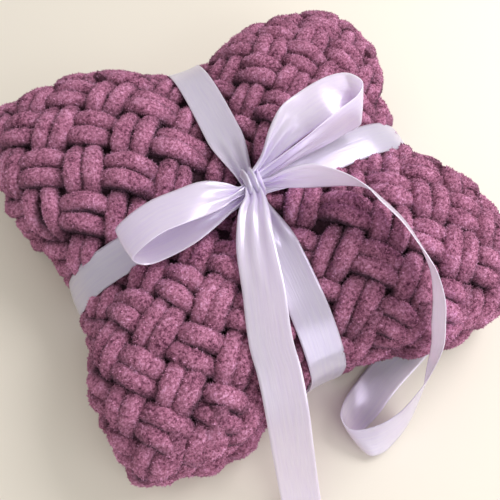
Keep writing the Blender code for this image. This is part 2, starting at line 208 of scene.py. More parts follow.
# Free ribbon: centre of the strip, direction across it, and its width there
Row = namedtuple("Row", "x y z wx wy wz width")
BOW_LOOP_LEFT = (
    Row(-3, -1, 89, 0.47, 0.75, -0.40, 8),
    Row(-11, -3, 91, 0.47, 0.75, -0.40, 9),
    Row(-20, -4, 96, 0.47, 0.86, -0.21, 18),
    Row(-34, -4, 103, 0.30, 0.93, -0.13, 25),
    Row(-50, -5, 107, 0.13, 0.98, -0.17, 25),
    Row(-65, -5, 107, 0.05, 0.98, -0.19, 25),
    Row(-79, -7, 104, -0.08, 0.97, -0.22, 25),
    Row(-89, -9, 97, -0.10, 0.96, -0.23, 25),
    Row(-84, -11, 89, 0.00, 0.98, -0.18, 25),
    Row(-75, -12, 86, 0.06, 0.99, -0.13, 25),
    Row(-59, -11, 85, 0.06, 0.99, -0.10, 25),
    Row(-45, -9, 86, 0.05, 1.00, -0.06, 25),
    Row(-30, -8, 87, 0.08, 1.00, -0.05, 19),
    Row(-12, -6, 86, 0.20, 0.94, -0.20, 10),
    Row(-3, -3, 86, 0.20, 0.94, -0.20, 8),
)
BOW_LOOP_RIGHT = (
    Row(3, 4, 90, -0.20, 0.45, 0.85, 8),
    Row(12, 9, 93, -0.20, 0.45, 0.85, 9),
    Row(26, 16, 99, -0.45, 0.65, 0.60, 18),
    Row(40, 22, 103, -0.46, 0.74, 0.52, 25),
    Row(53, 25, 105, -0.30, 0.87, 0.38, 25),
    Row(65, 27, 106, -0.22, 0.90, 0.36, 25),
    Row(76, 28, 105, -0.06, 0.87, 0.49, 25),
    Row(85, 26.5, 103, 0.12, 0.70, 0.70, 25),
    Row(90, 20, 101, 0.12, 0.38, 0.92, 25),
    Row(86, 13.5, 99.5, -0.08, 0.35, 0.93, 25),
    Row(73, 11, 98, -0.09, 0.25, 0.96, 25),
    Row(58, 8, 97, -0.11, 0.16, 0.98, 25),
    Row(39, 5, 95, -0.10, 0.05, 0.98, 21),
    Row(24, 3, 92.5, -0.10, 0.05, 0.98, 15),
    Row(11, 2, 90, -0.10, 0.05, 0.97, 9),
    Row(3, 1, 88, -0.10, 0.05, 0.97, 8),
)
TAIL_FRONT = (
    Row(-1, -4, 90, 0.94, -0.33, 0.09, 10),
    Row(-4, -13, 94, 0.94, -0.33, 0.09, 13),
    Row(-9, -21, 97, 0.92, -0.36, 0.12, 18),
    Row(-14, -31, 98, 0.86, -0.42, 0.25, 21),
    Row(-20, -46, 97, 0.86, -0.42, 0.25, 24),
    Row(-27, -69, 95, 0.88, -0.38, 0.25, 25),
    Row(-36, -96, 91, 0.92, -0.30, 0.20, 25),
    Row(-39, -114, 85, 0.93, -0.30, 0.16, 25),
    Row(-43, -133, 73, 0.94, -0.29, 0.12, 25),
    Row(-47, -153, 50, 0.94, -0.30, 0.08, 25),
    Row(-50, -171, 26, 0.95, -0.30, 0.04, 25),
    Row(-53, -188, 7, 0.95, -0.28, 0.00, 25),
    Row(-57, -206, 1.3, 0.96, -0.26, 0.00, 25),
    Row(-66, -236, 1.3, 0.96, -0.26, 0.00, 25),
)
TAIL_SIDE = (
    Row(2, -1, 87, 0.06, 0.20, 0.98, 7),
    Row(10, -5, 91, 0.06, 0.20, 0.98, 8),
    Row(18, -11, 99, 0.05, 0.18, 0.98, 17),
    Row(29, -18, 105, 0.02, 0.12, 0.99, 24),
    Row(41, -26, 107, -0.19, 0.01, 0.98, 25),
    Row(49, -33, 108, -0.27, -0.17, 0.95, 25),
    Row(56, -41, 108, -0.39, -0.31, 0.87, 25),
    Row(60, -53, 108, -0.49, -0.30, 0.82, 25),
    Row(64, -69, 108, -0.50, -0.25, 0.83, 25),
    Row(65, -85, 107, -0.46, -0.20, 0.86, 25),
    Row(64, -103, 106, -0.35, -0.22, 0.91, 25),
    Row(60, -118, 101, -0.24, -0.27, 0.93, 25),
    Row(57, -129, 90, -0.17, -0.24, 0.96, 25),
    Row(55, -140, 75, -0.19, -0.22, 0.96, 25),
    Row(51, -149, 57, -0.30, -0.16, 0.94, 25),
    Row(48, -156, 41, -0.34, 0.02, 0.94, 25),
    Row(41, -163, 28, -0.37, 0.20, 0.91, 25),
    Row(32, -169, 18, -0.25, 0.42, 0.87, 25),
    Row(20, -172, 14.5, -0.25, 0.58, 0.78, 25),
    Row(8, -172, 13, -0.28, 0.75, 0.59, 25),
    Row(-1, -168, 12.6, -0.24, 0.82, 0.52, 25),
    Row(-3, -158, 10.5, -0.24, 0.68, 0.70, 25),
    Row(7, -152, 6, -0.45, 0.78, 0.42, 25),
    Row(21, -146, 2.4, -0.39, 0.92, 0.06, 25),
    Row(35, -140, 1.3, -0.35, 0.94, 0.00, 25),
    Row(49, -135, 1.3, -0.34, 0.94, 0.00, 25),
    Row(62, -131, 1.3, -0.34, 0.94, 0.00, 25),
    Row(74, -127, 1.3, -0.34, 0.94, 0.00, 25),
)
STRIP_COLUMNS = 17
STRIP_STEP = 2.0
WRAP_STEP = 3.0
WRAP_SMOOTHING = 6
PLEAT_SHARE = 0.085
PLEATS = 2.5
CUPPING = 0.9
CUP_MIDDLE = 0.33
STRIP_CLEARANCE = 0.5
GATHERED = 0.36
GATHER_REACH = 46.0
# Painted shade: the bands round the bundle are drawn darker than the rest of the ribbon by this factor
WRAP_PAINTED_SHADE = 0.9
KNOT_CENTRE = Vector((0.0, 0.0, 87.4))
KNOT_STEPS = 48
KNOT_HALF_Y = 9.2
KNOT_HALF_Z = 6.4
KNOT_WIDTH = 12.5
KNOT_NARROWER = 1.5
KNOT_LEAN = 0.1

# Materials: sizes of their patterns in metres, or on the ribbon in ribbon widths
DRIFT = 0.012
# The pile's colour ramp, from the painted shade of its pits through the pile to the painted highlight of
# its tips
PIT_LEVEL = 0.5
PILE_LEVEL = 0.72
# Painted shade and light: the crest attribute scales the pile's colour from this dark share up to this
# light one
CREST_SHADE = (0.13, 1.34)
# Blades of the pile are lighter at random towards the tip colour, a painted highlight on the pile's ends
TIP_SHARE = 0.16  # how much lighter a blade of the pile can be than its tuft
DRIFT_SHARE = 0.35
TUFT_RELIEF = 0.45
THREADS = 40.0  # a wave has 20 radians to the unit, so this is about 127 threads across the ribbon
CREASES = (14.4, 1.12, 1.6)  # about 1.7 mm across the ribbon and 22 mm along it

# Stage, in metres from the knot
FLOOR_SIZE = 6.0
SKY_COLOUR = (1.0, 0.985, 0.96, 1.0)
AreaLight = namedtuple("AreaLight", "name size_x size_y colour place")
WINDOW = AreaLight("window", 0.7, 0.6, (0.97, 0.95, 1.0), (0.84, 0.05, 0.88))
FILL = AreaLight("fill", 0.9, 0.9, (0.93, 0.94, 1.0), (0.35, -1.05, 0.62))

# Camera, as it was fitted to the ribbon's width and the bundle's corners
CAMERA_AZIMUTH = -31.4
CAMERA_ELEVATION = 67.0
CAMERA_ROLL = 5.5
CAMERA_DISTANCE = 380.0
CAMERA_TARGET = Vector((-13.0, -27.0, 50.0))
CAMERA_LENS = 40.32
CAMERA_SENSOR = 36.0


def knot_shift():
    """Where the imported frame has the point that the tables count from."""
    low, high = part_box("knot")
    return Vector(((low.x + high.x) / 2, (low.y + high.y) / 2, 0.0))


SHIFT = knot_shift()


def linear(code):
    """Turns an sRGB hex colour into linear red, green and blue."""
    values = (int(code[start : start + 2], 16) / 255 for start in (1, 3, 5))
    return tuple(v / 12.92 if v <= 0.04045 else ((v + 0.055) / 1.055) ** 2.4 for v in values)


def smooth(value):
    """A soft step from 0 to 1 as value goes from 0 to 1."""
    held = min(max(value, 0.0), 1.0)
    return held * held * (3.0 - 2.0 * held)


def to_frame(point):
    """A point of the tables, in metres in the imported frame."""
    return Vector(point) * MM + SHIFT


def side_reach(side, along):
    """Distance from the knot to one side of the pile, at a place along that side."""
    share = smooth((along + HALF_X) / (2.0 * HALF_X))
    reach = side.low_end + (side.high_end - side.low_end) * share
    return reach - side.pinch * (1.0 - smooth((abs(along - side.lean) - PINCH_FLAT) / PINCH_SLOPE))


def ribbon_distance(u, v):
    """Distance from the nearer of the two ribbon lines."""
    return min(abs(u - RIBBON_LEAN_X * v), abs(v - RIBBON_LEAN_Y * u))


def ribbon_press(u, v, flat=PRESS_FLAT, slope=PRESS_SLOPE):
    """How much of the ribbon's pull reaches a place on the cloth."""
    return 1.0 - smooth((ribbon_distance(u, v) - flat) / slope)


def top_height(u, v):
    """Height of the pile, with a valley under each ribbon and lower edges and corners."""
    from_long = abs(u - RIBBON_LEAN_X * v)
    from_cross = abs(v - RIBBON_LEAN_Y * u)
    slope = VALLEY_WIDTH - VALLEY_FLAT
    rise = smooth((from_long - VALLEY_FLAT) / slope) * smooth((from_cross - VALLEY_FLAT) / slope)
    side_x = min(abs(u) / HALF_X, 1.0) ** DROOP_POWER
    side_y = min(abs(v) / HALF_Y, 1.0) ** DROOP_POWER
    droop = 1.0 - (1.0 - side_x) * (1.0 - side_y)
    height = CROWN - VALLEY * (1.0 - rise)
    return height - EDGE_DROOP * droop - CORNER_DROOP * side_x * side_y


def near_edge_shift(u, v, z):
    """How far a layer's edge moves out on the near side, where the layers don't line up."""
    layer = min(max(int((STACK - z) / (LAYER + LAYER_GAP)), 0), LAYERS - 1)
    left, right = NEAR_EDGE[layer]
    near = smooth((-v - SHIFT_START) / (HALF_Y - SHIFT_START))
    past_ribbon = smooth((abs(u - RIBBON_LEAN_X * v) - BAND / 2) / SHIFT_FADE)
    before_fold = 1.0 - smooth((abs(u) - SHIFT_END) / SHIFT_FADE)
    return (left if u < 0.0 else right) * near * past_ribbon * before_fold


def place(u, v, z):
    """Turns a point of the flat, square stack into its place in the tied bundle, in metres."""
    reach_y = side_reach(NORTH if v > 0 else SOUTH, u)
    v -= near_edge_shift(u, v, z) * HALF_Y / reach_y
    x = u / HALF_X * side_reach(EAST if u > 0 else WEST, v)
    y = v / HALF_Y * reach_y
    corner = 1.0 - CORNER_INSET * (u / HALF_X) ** 2 * (v / HALF_Y) ** 2
    depth = 1.0 - z / STACK
    barrel = 1.0 + BARREL * math.sin(math.pi * min(depth * BARREL_LOW, 1.0))
    lift = CHANNEL * smooth((CHANNEL_WIDTH - ribbon_distance(u, v)) / (CHANNEL_WIDTH - VALLEY_FLAT))
    height = z * top_height(u, v) / STACK + lift * depth**3
    return to_frame((x * corner * barrel, y * corner * barrel, height))


def layer_middle(layer):
    """Height of a layer's middle in the flat stack, with layer 0 on top."""
    return STACK - LAYER / 2 - layer * (LAYER + LAYER_GAP)


def on_lattice(lobe, along, across):
    """Where a point of the stitch lattice lies by one lobe's own steps."""
    u = lobe.u + lobe.along_u * along + lobe.across_u * across
    return u, lobe.v + lobe.along_v * along + lobe.across_v * across


def lattice(along, across):
    """Where a point of the stitch lattice lies on the cloth, between the four lobes' own lattices."""
    u, v = on_lattice(LATTICE, along, across)
    east = smooth((u + LOBE_BLEND) / (2 * LOBE_BLEND))
    north = smooth((v + LOBE_BLEND) / (2 * LOBE_BLEND))
    shares = {
        "left": (1 - east) * north,
        "top": east * north,
        "bottom": (1 - east) * (1 - north),
        "right": east * (1 - north),
    }
    spots = [(share, on_lattice(LOBES[name], along, across)) for name, share in shares.items()]
    return tuple(sum(share * spot[axis] for share, spot in spots) for axis in (0, 1))


def section_point(face, s):
    """A point on a face of the folded section, and the direction out of the cloth there."""
    if face == UNDER:
        return s, 0.0, 0.0, -1.0
    if face == TOP and s > FLAT_EAST:
        angle = min((s - FLAT_EAST) / EDGE_ROUND, math.pi)
        out, up = math.sin(angle), math.cos(angle)
        return FLAT_EAST + EDGE_ROUND * out, STACK - EDGE_ROUND * (1 - up), out, up
    if face == TOP and s >= FLAT_WEST:
        return s, STACK, 0.0, 1.0
    upper = {TOP: 0, WEST_LOW: 2, EAST_FOLD: 1}[face]
    start, toward = (FOLD_EAST, 1.0) if face == EAST_FOLD else (FLAT_WEST, -1.0)
    angle = min(max((s - start) * toward / FOLD_RADIUS, 0.0), math.pi)
    out, up = toward * math.sin(angle), math.cos(angle)
    centre_z = layer_middle(upper) - FOLD_MIDDLE
    return start + FOLD_RADIUS * out, centre_z + FOLD_RADIUS * up, out, up


def cloth_point(face, s, v, depth):
    """A point at a depth under a face of the cloth, which rolls over at the cloth's edges."""
    u, z, out, up = section_point(face, s)
    angle = min(max((abs(v) - FLAT_Y) / EDGE_ROUND, 0.0), EDGE_TURN)
    sideways = math.copysign(math.sin(angle), v)
    kept = math.cos(angle)
    flat_v = math.copysign(min(abs(v), FLAT_Y), v)
    depth += PRESS * ribbon_press(u, flat_v)
    at_edge = smooth(2.0 * angle) if face != TOP or s <= FLAT_EAST else 1.0
    depth = min(depth, DEEPEST - (DEEPEST - EDGE_ROUND - 1.0) * at_edge)
    drop = EDGE_ROUND * (1 - kept) + depth * kept
    return place(u - out * drop, flat_v + (EDGE_ROUND - depth) * sideways, z - up * drop)


def stitch_strand(face, cell, upright, side, chance, radius):
    """One strand of a stitch pair, as points with a radius, a share of painted light and the way out."""
    stray = [most * chance.uniform(-1.0, 1.0) for most in STRAY]
    ahead, aside = ((1, 0), (0, 1)) if upright else ((0, 1), (1, 0))
    middle = lattice(*cell)
    cell_width = math.dist(middle, lattice(cell[0] + aside[0], cell[1] + aside[1]))
    points = []
    for number in range(ARCH_POINTS):
        t = ARCH_END * (2.0 * number / (ARCH_POINTS - 1) - 1.0)
        apart = (PAIR_OFFSET - PAIR_PINCH * (t / ARCH_END) ** 2) / cell_width
        offset = side * apart + stray[0] + stray[1] * t
        moved = t + stray[2]
        s, v = lattice(*(c + moved * a + offset * b for c, a, b in zip(cell, ahead, aside)))
        dive = abs(t / DIVE_AT) ** DIVE_POWER
        depth = CREST_DEPTH + DIVE * dive + stray[3]
        full = radius * (STRAND_FAT - STRAND_TAPER * abs(t / ARCH_END) ** 3) * (1 + stray[4])
        point = cloth_point(face, s, v, depth)
        outward = point - cloth_point(face, s, v, depth + PROBE)
        rolled = smooth(max(abs(v) - FLAT_Y, s - FLAT_EAST) / EDGE_ROUND) if face == TOP else 0.0
        full *= 1.0 - (SQUEEZE + EDGE_SQUEEZE * rolled) * ribbon_press(s, v)
        # Painted shade: the colour darkens where the strand dives, less where the cloth rolls over its edge
        crest = 1.0 - min(dive, 1.0) * (1.0 - EDGE_LIGHT * rolled)
        share = SKY_SHARE if face != UNDER else 0.0
        points.append((point, full, crest, toward_light(outward, share)))
    return points


def stitch_strands(face, low_s, high_s, edge_v, radius, seed):
    """Every strand of the stitch pairs on one face, with its pair's place on the cloth."""
    chance = random.Random(seed)
    strands = []
    for i in CELLS:
        for j in CELLS:
            s, v = lattice(i, j)
            if not (low_s < s <= high_s and abs(v) < edge_v):
                continue
            for side in (-1.0, 1.0):
                upright = (i + j) % 2 == 0
                strands.append((s, v, stitch_strand(face, (i, j), upright, side, chance, radius)))
    return strands


def toward_light(outward, share):
    """The way out of the cloth, turned up towards the light."""
    return (outward.normalized() + Vector((0.0, 0.0, share))).normalized()


def rim_point(edge, along, out, z):
    """A point on an edge of the flat stack, which goes round the corner past the edge's end."""
    side = -1.0 if edge == "south" else 1.0
    start = (FLAT_Y if edge == "east" else FLAT_EAST) - RIM_CORNER
    turn = min(max(abs(along) - start, 0.0) / RIM_BEND, RIM_TURN)
    reach = RIM_CORNER + out
    along = math.copysign(min(abs(along), start) + reach * math.sin(turn), along)
    out = reach * math.cos(turn) - RIM_CORNER
    if edge == "east":
        return place(FLAT_EAST + out, along, z)
    return place(along, side * (FLAT_Y + out), z)


def rim_strand(layer, edge, centre, row, chance, radius):
    """One strand of the slanting pairs on a layer's rim; edge is north, south or east."""
    side = -1.0 if edge == "south" else 1.0
    tilt = -side * PETAL_TILT
    wobble = chance.uniform(-1.0, 1.0)
    points = []
    for number in range(ARCH_POINTS):
        t = 2.0 * number / (ARCH_POINTS - 1) - 1.0
        along = centre + PETAL_HALF * t
        crest = math.cos(0.5 * math.pi * t)
        held = max(-FLAT_EAST, min(FLAT_EAST, along))
        spot = (FLAT_EAST, held) if edge == "east" else (held, side * FLAT_Y)
        squeezed = ribbon_press(*spot, RIM_PRESS_FLAT, RIM_PRESS_SLOPE)
        if edge == "south" and layer == 0:
            off_tail = smooth((abs(held - TAIL_CROSSING) - RIM_PRESS_FLAT) / RIM_PRESS_SLOPE)
            squeezed = max(squeezed, TAIL_PRESS * (1.0 - off_tail))
        free = 1.0 - RIM_FLATTEN * squeezed
        rise = PETAL_OUT + PETAL_DIVE + PETAL_STRAY * wobble
        out = -PETAL_DIVE + rise * crest**PETAL_ROUND - PETAL_SLANT * t
        out = min(out, PETAL_OUT + 1.0) - RIM_PRESS * squeezed
        z = layer_middle(layer) + free * (row * PETAL_ROW * (0.5 + 0.5 * crest) + tilt * t)
        point, inner = (rim_point(edge, along, reach, z) for reach in (out, out - PROBE))
        full = radius * (PETAL_THIN + (1 - PETAL_THIN) * crest) * (1.0 - RIM_SQUEEZE * squeezed)
        # Painted shade: a petal's colour darkens towards its ends and on its side that faces in
        outward = toward_light(point - inner, RIM_SKY_TOP if layer == 0 else RIM_SKY)
        points.append((point, full, PETAL_CREST + (1 - PETAL_CREST) * crest, outward))
    return points


def set_inputs(node, inputs):
    """Sets a node's inputs: each a value, another node's output, or a node for its first output."""
    for key, value in inputs.items():
        value = value.outputs[0] if isinstance(value, bpy.types.Node) else value
        if isinstance(value, bpy.types.NodeSocket):
            node.id_data.links.new(value, node.inputs[key])
        else:
            node.inputs[key].default_value = value


def add_node(tree, kind, inputs=None, **settings):
    """Adds a node with its settings and its inputs."""
    node = tree.nodes.new(kind)
    for name, value in settings.items():
        setattr(node, name, value)
    set_inputs(node, inputs or {})
    return node


def shader_tree(name):
    """A new material, what adds nodes to it, and its Principled shader."""
    material = bpy.data.materials.new(name)
    material.use_nodes = True
    tree = material.node_tree
    return material, partial(add_node, tree), tree.nodes["Principled BSDF"]


def chenille_material(settings):
    """Polyester chenille: a dense cut pile round a core, matt, coloured with painted shade in the pits,
    painted highlight on the tips and painted shade away from the stitches' crests.
    """
    material, add, shader = shader_tree("polyester chenille pile")
    spot = add("ShaderNodeTexCoord").outputs["Object"]
    drift = add("ShaderNodeTexNoise", {"Vector": spot, "Scale": 1 / DRIFT, "Detail": 2.0})
    fibres = add(
        "ShaderNodeTexNoise",
        {"Vector": spot, "Scale": 1 / settings.tuft, "Detail": 4.0, "Roughness": 0.75},
    )
    tip = add("ShaderNodeAttribute", attribute_name="tip")
    lit = add("ShaderNodeMath", {0: tip.outputs["Fac"], 1: TIP_SHARE}, operation="MULTIPLY")
    noisy = add("ShaderNodeMath", {0: fibres, 1: lit}, operation="ADD")
    drifting = {0: drift, 1: DRIFT_SHARE, 2: noisy}
    level = add("ShaderNodeMath", drifting, operation="MULTIPLY_ADD")
    # Painted shade and highlight: the colour runs from the dark pit colour where the tufts are low to the
    # light tip colour where they are high
    ramp = add("ShaderNodeValToRGB", {"Fac": level})
    stops = ramp.color_ramp.elements
    stops[0].position = PIT_LEVEL
    stops[0].color = (*settings.pit_shade_colour, 1.0)
    stops[1].position = 1.0
    stops[1].color = (*settings.tip_colour, 1.0)
    stops.new(PILE_LEVEL).color = (*settings.pile_colour, 1.0)
    # Painted shade and light: the crest attribute scales the colour from dark in the hollows to lighter on
    # open crests
    crest = add("ShaderNodeAttribute", attribute_name="crest")
    span = {"Value": crest.outputs["Fac"], "To Min": CREST_SHADE[0], "To Max": CREST_SHADE[1]}
    shade = add("ShaderNodeMapRange", span)
    shaded = {0: ramp.outputs["Color"], "Scale": shade}
    shade_painted_colour = add("ShaderNodeVectorMath", shaded, operation="SCALE")
    relief = {"Height": fibres, "Strength": 1.0, "Distance": settings.tuft * TUFT_RELIEF}
    bump = add("ShaderNodeBump", relief)
    set_inputs(shader, {
        "Base Color": shade_painted_colour,
        "Normal": bump,
        "Roughness": 0.95,
        "Specular IOR Level": 0.2,
        "Sheen Weight": 0.25,
        "Sheen Roughness": 0.45,
        "Sheen Tint": (*settings.tip_colour, 1.0),
    })
    return material


def satin_material(settings):
    """Polyester satin ribbon: long floats of bright warp threads, so the shine runs lengthwise."""
    material, add, shader = shader_tree("polyester satin ribbon")
    flat = add("ShaderNodeUVMap", uv_map="ribbon").outputs["UV"]
    threads = add("ShaderNodeTexWave", {"Vector": flat, "Scale": THREADS, "Distortion": 1.0})
    stretch = add("ShaderNodeMapping", {"Vector": flat, "Scale": CREASES})
    creases = add("ShaderNodeTexNoise", {"Vector": stretch, "Scale": 1.0, "Detail": 3.0})
    # Painted shade: the colour darkens to the shade colour along the creases' noise, which also bumps them
    shades = {6: (*settings.shade_colour, 1.0), 7: (*settings.satin_colour, 1.0)}
    colour = add("ShaderNodeMix", {0: creases, **shades}, data_type="RGBA")
    # Painted shade: each strip's colour is scaled by its stored shade factor
    painted_shade_factor = add("ShaderNodeAttribute", attribute_name="painted_shade_factor")
    shade_painted_satin = add(
        "ShaderNodeVectorMath",
        {0: colour.outputs[2], "Scale": painted_shade_factor.outputs["Fac"]},
        operation="SCALE",
    )
    relief = {"Height": threads, "Strength": 0.006, "Distance": 0.0001}
    fine = add("ShaderNodeBump", relief)
    relief = {"Height": creases, "Strength": 0.12, "Distance": 0.0012}
    soft = add("ShaderNodeBump", {**relief, "Normal": fine})
    tangent = add("ShaderNodeTangent", direction_type="UV_MAP", uv_map="ribbon")
    set_inputs(shader, {
        "Base Color": shade_painted_satin,
        "Normal": soft,
        "Tangent": tangent,
        "Roughness": settings.roughness,
        "Metallic": 0.12,
        "Anisotropic": 0.6,
        "Specular IOR Level": 0.7,
        "Sheen Weight": 0.15,
        "Sheen Roughness": 0.3,
        "Subsurface Weight": 0.85,
        "Subsurface Radius": (1.0, 0.9, 1.0),
        "Subsurface Scale": 0.003,
    })
    return material


def named_material(maker, settings, name):
    """The material of that name, made once."""
    return bpy.data.materials.get(name) or maker(settings)


def yarn_tree(material):
    """Nodes that turn strand lines into fat, lumpy yarn with its cut pile."""
    tree = bpy.data.node_groups.get("chenille yarn")
    if tree:
        return tree
    tree = bpy.data.node_groups.new("chenille yarn", "GeometryNodeTree")
    add = partial(add_node, tree)
    tree.interface.new_socket("Lines", in_out="INPUT", socket_type="NodeSocketGeometry")
    for kind, names in (
        ("Float", ("Ring spacing", "Tuft size", "Tuft height", "Lump height")),
        ("Float", ("Pile length", "Pile width", "Pile density")),
        ("Int", ("Sides", "Seed")),
    ):
        for name in names:
            tree.interface.new_socket(name, in_out="INPUT", socket_type=f"NodeSocket{kind}")
    tree.interface.new_socket("Yarn", in_out="OUTPUT", socket_type="NodeSocketGeometry")
    given = add("NodeGroupInput").outputs
    curve = add("GeometryNodeMeshToCurve", {"Mesh": given["Lines"]})
    soft = add("GeometryNodeCurveSplineType", {"Curve": curve}, spline_type="CATMULL_ROM")
    thickness = add("GeometryNodeInputNamedAttribute", {"Name": "thickness"})
    rings = add(
        "GeometryNodeResampleCurve",
        {"Curve": soft, "Length": given["Ring spacing"]},
        mode="LENGTH",
    )
    circle = add("GeometryNodeCurvePrimitiveCircle", {"Resolution": given["Sides"], "Radius": 1.0})
    tube = add(
        "GeometryNodeCurveToMesh",
        {"Curve": rings, "Profile Curve": circle, "Scale": thickness, "Fill Caps": True},
    )
    spot = add("GeometryNodeInputPosition")
    out = add("GeometryNodeInputNormal")
    per_tuft = add("ShaderNodeMath", {0: 1.0, 1: given["Tuft size"]}, operation="DIVIDE")
    per_lump = add("ShaderNodeMath", {0: per_tuft, 1: LUMP_SHARE}, operation="MULTIPLY")
    raised = []
    for per, height, roughness in (
        (per_tuft, given["Tuft height"], 0.8),
        (per_lump, given["Lump height"], 0.5),
    ):
        pattern = {"Vector": spot, "Scale": per, "Detail": 1.0, "Roughness": roughness}
        texture = add("ShaderNodeTexNoise", pattern)
        centred = add("ShaderNodeMath", {0: texture, 1: 0.5}, operation="SUBTRACT")
        raised.append(add("ShaderNodeMath", {0: centred, 1: height}, operation="MULTIPLY"))
    both = add("ShaderNodeMath", {0: raised[0], 1: raised[1]}, operation="ADD")
    push = add("ShaderNodeVectorMath", {0: out, "Scale": both}, operation="SCALE")
    tufted = add("GeometryNodeSetPosition", {"Geometry": tube, "Offset": push})

    # Painted shade: how open the surface is to the light, the crest of a stitch on the side that faces out,
    # stored for the material to darken the colour where it is low
    crest = add("GeometryNodeInputNamedAttribute", {"Name": "crest"})
    outward = add("GeometryNodeInputNamedAttribute", {"Name": "outward"}, data_type="FLOAT_VECTOR")
    facing = add("ShaderNodeVectorMath", {0: out, 1: outward}, operation="DOT_PRODUCT")
    open_side = add(
        "ShaderNodeMapRange",
        {"Value": facing.outputs["Value"], "From Min": -0.1, "From Max": 0.85},
        interpolation_type="SMOOTHSTEP",
    )
    openness = add("ShaderNodeMath", {0: crest, 1: open_side}, operation="MULTIPLY")
    lit = add("GeometryNodeStoreNamedAttribute", {"Geometry": tufted, "Name": "crest", "Value": openness})
    shaded = add("GeometryNodeSetShadeSmooth", {"Geometry": lit, "Shade Smooth": True})

    # The pile: single thin blades, each a triangle, that lean every way off the surface
    spots = add(
        "GeometryNodeDistributePointsOnFaces",
        {"Mesh": shaded, "Density": given["Pile density"], "Seed": given["Seed"]},
    )
    blade = add("GeometryNodeMeshCircle", {"Vertices": 3, "Radius": given["Pile length"]}, fill_type="NGON")
    narrow = add("ShaderNodeCombineXYZ", {"X": BLADE_LENGTH, "Y": given["Pile width"], "Z": 1.0})
    thin = add("GeometryNodeTransform", {"Geometry": blade, "Scale": narrow})
    lean = add(
        "FunctionNodeRandomValue",
        {"Min": [-BLADE_LEAN] * 3, "Max": [BLADE_LEAN] * 3, "Seed": given["Seed"]},
        data_type="FLOAT_VECTOR",
    )
    toward = add("ShaderNodeVectorMath", {0: spots.outputs["Normal"], 1: lean}, operation="ADD")
    stand = add("FunctionNodeAlignRotationToVector", {"Vector": toward}, axis="X")
    tip = add("FunctionNodeRandomValue", {"Seed": given["Seed"]})
    marked = add(
        "GeometryNodeStoreNamedAttribute",
        {"Geometry": spots.outputs["Points"], "Name": "tip", "Value": tip.outputs["Value"]},
    )
    least, most = BLADE_SIZES
    sizes = add("FunctionNodeRandomValue", {"Min": least, "Max": most, "Seed": given["Seed"]})
    pile = add(
        "GeometryNodeInstanceOnPoints",
        {"Points": marked, "Instance": thin, "Rotation": stand, "Scale": sizes.outputs["Value"]},
    )
    joined = add("GeometryNodeJoinGeometry", {0: pile})
    set_inputs(joined, {0: shaded})
    real = add("GeometryNodeRealizeInstances", {"Geometry": joined})
    painted = add("GeometryNodeSetMaterial", {"Geometry": real, "Material": material})
    add("NodeGroupOutput", {0: painted})
    return tree


def make_plain(obj, name, lowest):
    """Turns an object's modifiers into a plain mesh, flattened where it would reach under lowest."""
    graph = bpy.context.evaluated_depsgraph_get()
    graph.update()
    mesh = bpy.data.meshes.new_from_object(obj.evaluated_get(graph))
    obj.modifiers.clear()
    obj.data = mesh
    mesh.name = name
    for vertex in mesh.vertices:
        vertex.co.z = max(vertex.co.z, lowest)


def store(mesh, name, kind, values):
    """Stores one value a point under a name."""
    data = mesh.attributes.new(name, kind, "POINT").data
    data.foreach_set("value" if kind == "FLOAT" else "vector", values)


def yarn_piece(name, strands, settings, size):
    """One piece of yarn strands, made by the geometry nodes and then plain mesh."""
    material = named_material(chenille_material, settings, "polyester chenille pile")
    points = []
    edges = []
    for strand in strands:
        edges += [(len(points) + number, len(points) + number + 1) for number in range(len(strand) - 1)]
        points += strand
    mesh = bpy.data.meshes.new(name)
    mesh.from_pydata([point[0] for point in points], edges, [])
    store(mesh, "thickness", "FLOAT", [point[1] * MM for point in points])
    # Painted shade: the crest share and the way out decide how far the yarn's colour is darkened
    store(mesh, "crest", "FLOAT", [point[2] for point in points])
    store(mesh, "outward", "FLOAT_VECTOR", [value for point in points for value in point[3]])
    obj = bpy.data.objects.new(name, mesh)
    bpy.context.scene.collection.objects.link(obj)
    yarn = obj.modifiers.new("yarn", "NODES")
    yarn.node_group = yarn_tree(material)
    given = {
        "Ring spacing": size.spacing * MM,
        "Tuft size": settings.tuft,
        "Tuft height": settings.tuft_height,
        "Lump height": settings.lump_height,
        "Sides": size.sides,
        "Pile length": settings.pile_length,
        "Pile width": settings.pile_width / settings.pile_length,
        "Pile density": size.density / MM**2,
        "Seed": settings.seed,
    }
    for item in yarn.node_group.interface.items_tree:
        if item.in_out == "INPUT" and item.name in given:
            yarn[item.identifier] = given[item.name]
    make_plain(obj, name, YARN_FLOOR * MM)
    dress_knit(obj)


def dress_knit(obj):
    """Hangs a piece of the knitted cloth under the root body and hides the blanket's solid."""
    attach(obj, "root")
    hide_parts("blanket")


def curve_through(rows, share):
    """A smooth curve through rows of numbers, at a share of the way along them."""
    place_along = share * (len(rows) - 1)
    index = min(int(place_along), len(rows) - 2)
    t = place_along - index
    a = rows[max(index - 1, 0)]
    b = rows[index]
    c = rows[index + 1]
    d = rows[min(index + 2, len(rows) - 1)]
    values = []
    for p, q, r, s in zip(a, b, c, d):
        bend_in = 2 * p - 5 * q + 4 * r - s
        values.append(0.5 * (2 * q + (r - p) * t + bend_in * t * t + (3 * q - p - 3 * r + s) * t**3))
    return Row(*values)


def hull(points):
    """The convex outline of points in a plane, anticlockwise."""

    def turn(a, b, c):
        return (b[0] - a[0]) * (c[1] - a[1]) - (b[1] - a[1]) * (c[0] - a[0])

    def chain(items):
        kept = []
        for item in items:
            while len(kept) > 1 and turn(kept[-2], kept[-1], item) <= 0.0:
                kept.pop()
            kept.append(item)
        return kept[:-1]

    ordered = sorted(set(points))
    return chain(ordered) + chain(ordered[::-1])


